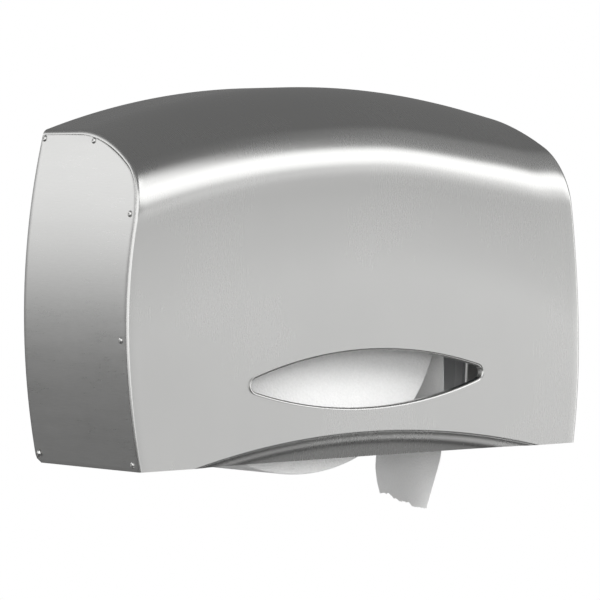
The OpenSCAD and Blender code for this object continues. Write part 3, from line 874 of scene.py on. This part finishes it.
def placed(tree, group, **inputs):
    """Places a shader group in a tree, with its own values."""
    made = tree.nodes.new("ShaderNodeGroup")
    made.node_tree = group
    for label, value in inputs.items():
        made.inputs[label].default_value = value
    return made


def tinted(tree, shader, colour, shade):
    """Base colour times a shade that changes over the surface."""
    lit = node(tree, "ShaderNodeVectorMath", {0: colour, "Scale": shade}, operation="SCALE").outputs[0]
    tree.links.new(lit, shader.inputs["Base Color"])


def bumped(tree, shader, height, distance):
    """Lets a height stand out by a distance in metres."""
    bump = node(tree, "ShaderNodeBump", {"Strength": 1.0, "Distance": distance, "Height": height})
    tree.links.new(bump.outputs[0], shader.inputs["Normal"])


def brushed_steel(name, colour, roughness, stretch, strength, anisotropy=0, turn=0):
    """Steel with lines in its sheen; stretch is how many there are to a metre along x, y and z."""
    material, tree, shader = new_material(
        name, colour, roughness, 1.0, Anisotropic=anisotropy, Anisotropic_Rotation=turn
    )
    lines = placed(tree, grain, Stretch=stretch, Strength=strength)
    broad = placed(tree, clouding, Size=11.0, Strength=0.05)
    shade = maths(tree, "ADD", lines.outputs["Shade"], broad.outputs["Value"])
    tinted(tree, shader, colour, shade)
    lined = maths(tree, "ADD", roughness, lines.outputs["Roughness"])
    rough = maths(tree, "ADD", lined, broad.outputs["Value"])
    tree.links.new(rough, shader.inputs["Roughness"])
    if anisotropy > 0:
        tangent = node(tree, "ShaderNodeTangent", direction_type="RADIAL", axis="X")
        tree.links.new(tangent.outputs[0], shader.inputs["Tangent"])
    return material


def tissue_paper(name, colour):
    """Soft paper: matt, with fibres that show as fine shade and height."""
    material, tree, shader = new_material(name, colour, 0.95, Specular_IOR_Level=0.15)
    fibre = placed(tree, pitting, Size=700.0, Strength=1.0)
    broad = placed(tree, clouding, Size=30.0, Strength=0.06)
    halved = maths(tree, "MULTIPLY", fibre.outputs["Shade"], 0.5)
    shade = maths(tree, "ADD", maths(tree, "ADD", 0.5, halved), broad.outputs["Value"])
    tinted(tree, shader, colour, shade)
    bumped(tree, shader, fibre.outputs["Height"], 0.00035)
    return material


def coated(name, colour, roughness, size, height):
    """Paint or moulded plastic, with pits of a size and height."""
    material, tree, shader = new_material(name, colour, roughness)
    pits = placed(tree, pitting, Size=size, Strength=0.3)
    broad = placed(tree, clouding, Size=20.0, Strength=0.08)
    tinted(tree, shader, colour, maths(tree, "ADD", pits.outputs["Shade"], broad.outputs["Value"]))
    tree.links.new(maths(tree, "ADD", roughness, broad.outputs["Value"]), shader.inputs["Roughness"])
    bumped(tree, shader, pits.outputs["Height"], height)
    return material


def wound_card(name, colour):
    """Card with spiral seams: darker lines that climb round the tube's own axis."""
    material, tree, shader = new_material(name, colour, 0.9, Specular_IOR_Level=0.2)
    place = node(tree, "ShaderNodeTexCoord").outputs["Object"]
    middle = point(ROLL_X, 0, ROLL_H)
    about = node(tree, "ShaderNodeMapping", {"Vector": place, "Location": -middle}).outputs[0]
    parts = node(tree, "ShaderNodeSeparateXYZ", {0: about})
    angle = maths(tree, "DIVIDE", maths(tree, "ARCTAN2", parts.outputs["Z"], parts.outputs["X"]), math.tau)
    risen = maths(tree, "DIVIDE", parts.outputs["Y"], CORE_LEAD * MM)
    climb = maths(tree, "FRACT", maths(tree, "ADD", angle, risen))
    seam = ranged(tree, maths(tree, "ABSOLUTE", maths(tree, "SUBTRACT", climb, 0.5)), 0.0, 0.025, 0.7, 1.0)
    fibre = placed(tree, pitting, Size=500.0, Strength=0.8)
    tinted(tree, shader, colour, maths(tree, "MULTIPLY", seam, fibre.outputs["Shade"]))
    bumped(tree, shader, fibre.outputs["Height"], 0.0002)
    return material


STEEL = (0.60, 0.60, 0.592)
UP_AND_DOWN = (1500, 90, 90)
FRONT_TO_BACK = (90, 90, 1300)
ALONG_PROFILE = 0.25  # turn of the cover's sheen, as a share of a full one
materials = {
    "cover_steel": brushed_steel("cover_steel", STEEL, 0.27, UP_AND_DOWN, 0.11, 0.6, ALONG_PROFILE),
    "panel_steel": brushed_steel("panel_steel", STEEL, 0.30, FRONT_TO_BACK, 0.5),
    "bright_steel": brushed_steel("bright_steel", (0.68, 0.68, 0.67), 0.18, (700, 700, 200), 0.4),
    "lock_zinc": brushed_steel("lock_zinc", (0.78, 0.785, 0.79), 0.16, (500, 500, 500), 0.3),
    "plate_steel": coated("plate_steel", (0.55, 0.555, 0.56), 0.42, 1100.0, 0.00008),
    "hub_plastic": coated("hub_plastic", (0.10, 0.118, 0.142), 0.5, 1500.0, 0.00006),
    "tissue": tissue_paper("tissue", (0.86, 0.86, 0.855)),
    "cardboard": wound_card("cardboard", (0.40, 0.27, 0.16)),
}


def dress(piece, material):
    """Puts one material on the whole piece."""
    if piece.data.materials:
        for number in range(len(piece.data.materials)):
            piece.data.materials[number] = material
    else:
        piece.data.materials.append(material)


slot_of = {row["node"]: row["material_slot"] for row in frame["record"]["subparts"]}
for name, found in frame["nodes"].items():
    dress(found, materials[slot_of[name]])
dress(cover, materials["cover_steel"])
for side in ("left", "right"):
    dress(bpy.data.objects["panel_" + side], materials["panel_steel"])
    dress(bpy.data.objects["plate_return_" + side], materials["plate_steel"])
    dress(bpy.data.objects["rivet_heads_" + side], materials["bright_steel"])
dress(wound, materials["tissue"])
dress(tail, materials["tissue"])
dress(core, materials["cardboard"])

# ---------------------------------------------------------------- floor
FLOOR_R = 0.5
FLOOR_MIDDLE = (0, -0.4, -0.9)  # metres, as the radius is


def make_floor():
    """A small pale floor, well below the object and clear from underneath."""
    bpy.ops.mesh.primitive_circle_add(vertices=96, radius=FLOOR_R, fill_type="NGON", location=FLOOR_MIDDLE)
    floor = bpy.context.object
    floor.name = "floor"
    edit(floor, lambda: bpy.ops.mesh.inset(thickness=0.04), lambda: bpy.ops.mesh.inset(thickness=0.02))
    settle(floor)
    pale = (0.86, 0.86, 0.86)
    material, tree, shader = new_material("floor", pale, 0.8, Specular_IOR_Level=0.1)
    under = node(tree, "ShaderNodeNewGeometry").outputs["Backfacing"]
    clear = node(tree, "ShaderNodeBsdfTransparent").outputs[0]
    seen = node(tree, "ShaderNodeMixShader", {0: under, 1: shader.outputs[0], 2: clear})
    tree.links.new(seen.outputs[0], tree.nodes["Material Output"].inputs["Surface"])
    dress(floor, material)


make_floor()

# ---------------------------------------------------------------- camera
# Fitted to the photograph: angles in degrees, the distance in metres, the lens in millimetres.
AZIMUTH = -30.705
ELEVATION = 2.374
ROLL = 1.547
DISTANCE = 3.5992
LENS = 316.165
TARGET = point(-3.86, 75.0, 104.58)


def turned(azimuth, elevation):
    """Direction from the object towards an azimuth and elevation, in degrees."""
    a, e = math.radians(azimuth), math.radians(elevation)
    return Vector((math.sin(a) * math.cos(e), -math.cos(a) * math.cos(e), math.sin(e)))


def make_camera():
    """The main camera, at the photograph's angle."""
    camera = bpy.data.objects.new("camera", bpy.data.cameras.new("camera"))
    bpy.context.scene.collection.objects.link(camera)
    camera.data.lens = LENS
    camera.data.clip_end = 50
    towards = turned(AZIMUTH, ELEVATION)
    camera.location = TARGET + towards * DISTANCE
    upright = towards.to_track_quat("Z", "Y").to_matrix()
    camera.rotation_euler = (upright @ Matrix.Rotation(math.radians(-ROLL), 3, "Z")).to_euler()
    bpy.context.scene.camera = camera


# ---------------------------------------------------------------- light
def make_panel_group():
    """How much of a soft-edged studio panel lies in one direction, all in degrees."""
    looked_at = ("Azimuth", "Elevation")
    middle_at = ("Middle Azimuth", "Middle Elevation")
    form = ("Half Width", "Half Height", "Softness", "Tilt")
    floats = [(label, "NodeSocketFloat", 0.0) for label in looked_at + middle_at + form]
    group, given, out = make_group("studio_panel", floats, [("Mask", "NodeSocketFloat")])
    take = given.outputs
    aside = maths(group, "SUBTRACT", take["Azimuth"], take["Middle Azimuth"])
    middle = maths(group, "ADD", take["Middle Elevation"], maths(group, "MULTIPLY", aside, take["Tilt"]))
    above = maths(group, "SUBTRACT", take["Elevation"], middle)
    masks = []
    for offset, half in ((aside, take["Half Width"]), (above, take["Half Height"])):
        outside = maths(group, "SUBTRACT", maths(group, "ABSOLUTE", offset), half)
        share = maths(group, "DIVIDE", outside, take["Softness"])
        masks.append(ranged(group, share, -1.0, 1.0, 1.0, 0.0, "SMOOTHSTEP"))
    group.links.new(maths(group, "MULTIPLY", *masks), out.inputs["Mask"])
    return group


# Each soft panel: name, middle azimuth and elevation, half width and height, softness, tilt, strength.
STUDIO = (
    ("low_front", 30.0, -5.5, 70.0, 10.0, 4.0, 0.0, 0.64),
    ("floor_glow", 30.0, -20.0, 80.0, 7.0, 6.0, 0.0, 0.2),
    ("key", 32.0, 27.5, 37.0, 19.5, 6.0, -0.72, 1.75),
    ("key_left", 16.0, 60.0, 12.0, 9.0, 5.0, 0.0, 1.5),
    ("left_box", -67.0, 18.0, 52.0, 26.0, 7.0, 0.0, 1.3),
    ("back_left", -150.0, 13.0, 16.0, 10.5, 7.0, 0.0, 1.29),
    ("back_low", -152.0, -14.0, 24.0, 14.0, 6.0, 0.0, 0.12),
    ("right_fill", 80.0, 42.0, 28.0, 20.0, 14.0, 0.0, 0.15),
    ("upper", 0.0, 50.0, 200.0, 50.0, 8.0, 0.0, 0.09),
    ("backdrop", 149.0, -5.0, 22.0, 5.0, 3.0, 0.0, 0.85),
)
AMBIENT = 0.1  # light from everywhere else


def make_world():
    """White to the camera and through clear materials; a studio of soft panels to everything else."""
    world = bpy.data.worlds.new("studio")
    world.use_nodes = True
    bpy.context.scene.world = world
    tree = world.node_tree
    background = tree.nodes["Background"]
    panel = make_panel_group()
    parts = node(tree, "ShaderNodeSeparateXYZ", {0: node(tree, "ShaderNodeTexCoord").outputs["Generated"]})
    azimuth = maths(tree, "ARCTAN2", parts.outputs["X"], maths(tree, "MULTIPLY", parts.outputs["Y"], -1.0))
    azimuth = maths(tree, "DEGREES", azimuth)
    elevation = maths(tree, "DEGREES", maths(tree, "ARCSINE", parts.outputs["Z"]))
    light = AMBIENT
    for name, az, el, width, height, soft, tilt, strength in STUDIO:
        made = placed(tree, panel)
        made.label = name
        values = {"Middle Azimuth": az, "Middle Elevation": el, "Half Width": width, "Half Height": height}
        values.update({"Softness": soft, "Tilt": tilt})
        for label, value in values.items():
            made.inputs[label].default_value = value
        tree.links.new(azimuth, made.inputs["Azimuth"])
        tree.links.new(elevation, made.inputs["Elevation"])
        light = maths(tree, "MULTIPLY_ADD", made.outputs["Mask"], strength, light)
    path = node(tree, "ShaderNodeLightPath")
    clear = maths(tree, "MAXIMUM", path.outputs["Is Camera Ray"], path.outputs["Is Transmission Ray"])
    studio = node(tree, "ShaderNodeMix", {"Factor": clear, 2: light, 3: 1.0}, data_type="FLOAT").outputs[0]
    tree.links.new(studio, background.inputs["Strength"])
    background.inputs["Color"].default_value = (1, 1, 1, 1)


def area_lamp(name, azimuth, elevation, distance, size, power):
    """A square lamp that shows in no reflection, because the studio's panels do."""
    lamp = bpy.data.objects.new(name, bpy.data.lights.new(name, "AREA"))
    bpy.context.scene.collection.objects.link(lamp)
    lamp.data.shape = "SQUARE"
    lamp.data.size = size
    lamp.data.energy = power
    towards = turned(azimuth, elevation)
    lamp.location = TARGET + towards * distance
    lamp.rotation_euler = towards.to_track_quat("Z", "Y").to_euler()
    lamp.visible_glossy = False
    lamp.visible_camera = False


make_world()
area_lamp("paper_light", azimuth=8, elevation=31, distance=2.0, size=1.3, power=24.0)
area_lamp("window_light", azimuth=-24, elevation=6, distance=2.4, size=0.4, power=9.0)
make_camera()
bpy.context.scene.view_settings.view_transform = "Standard"
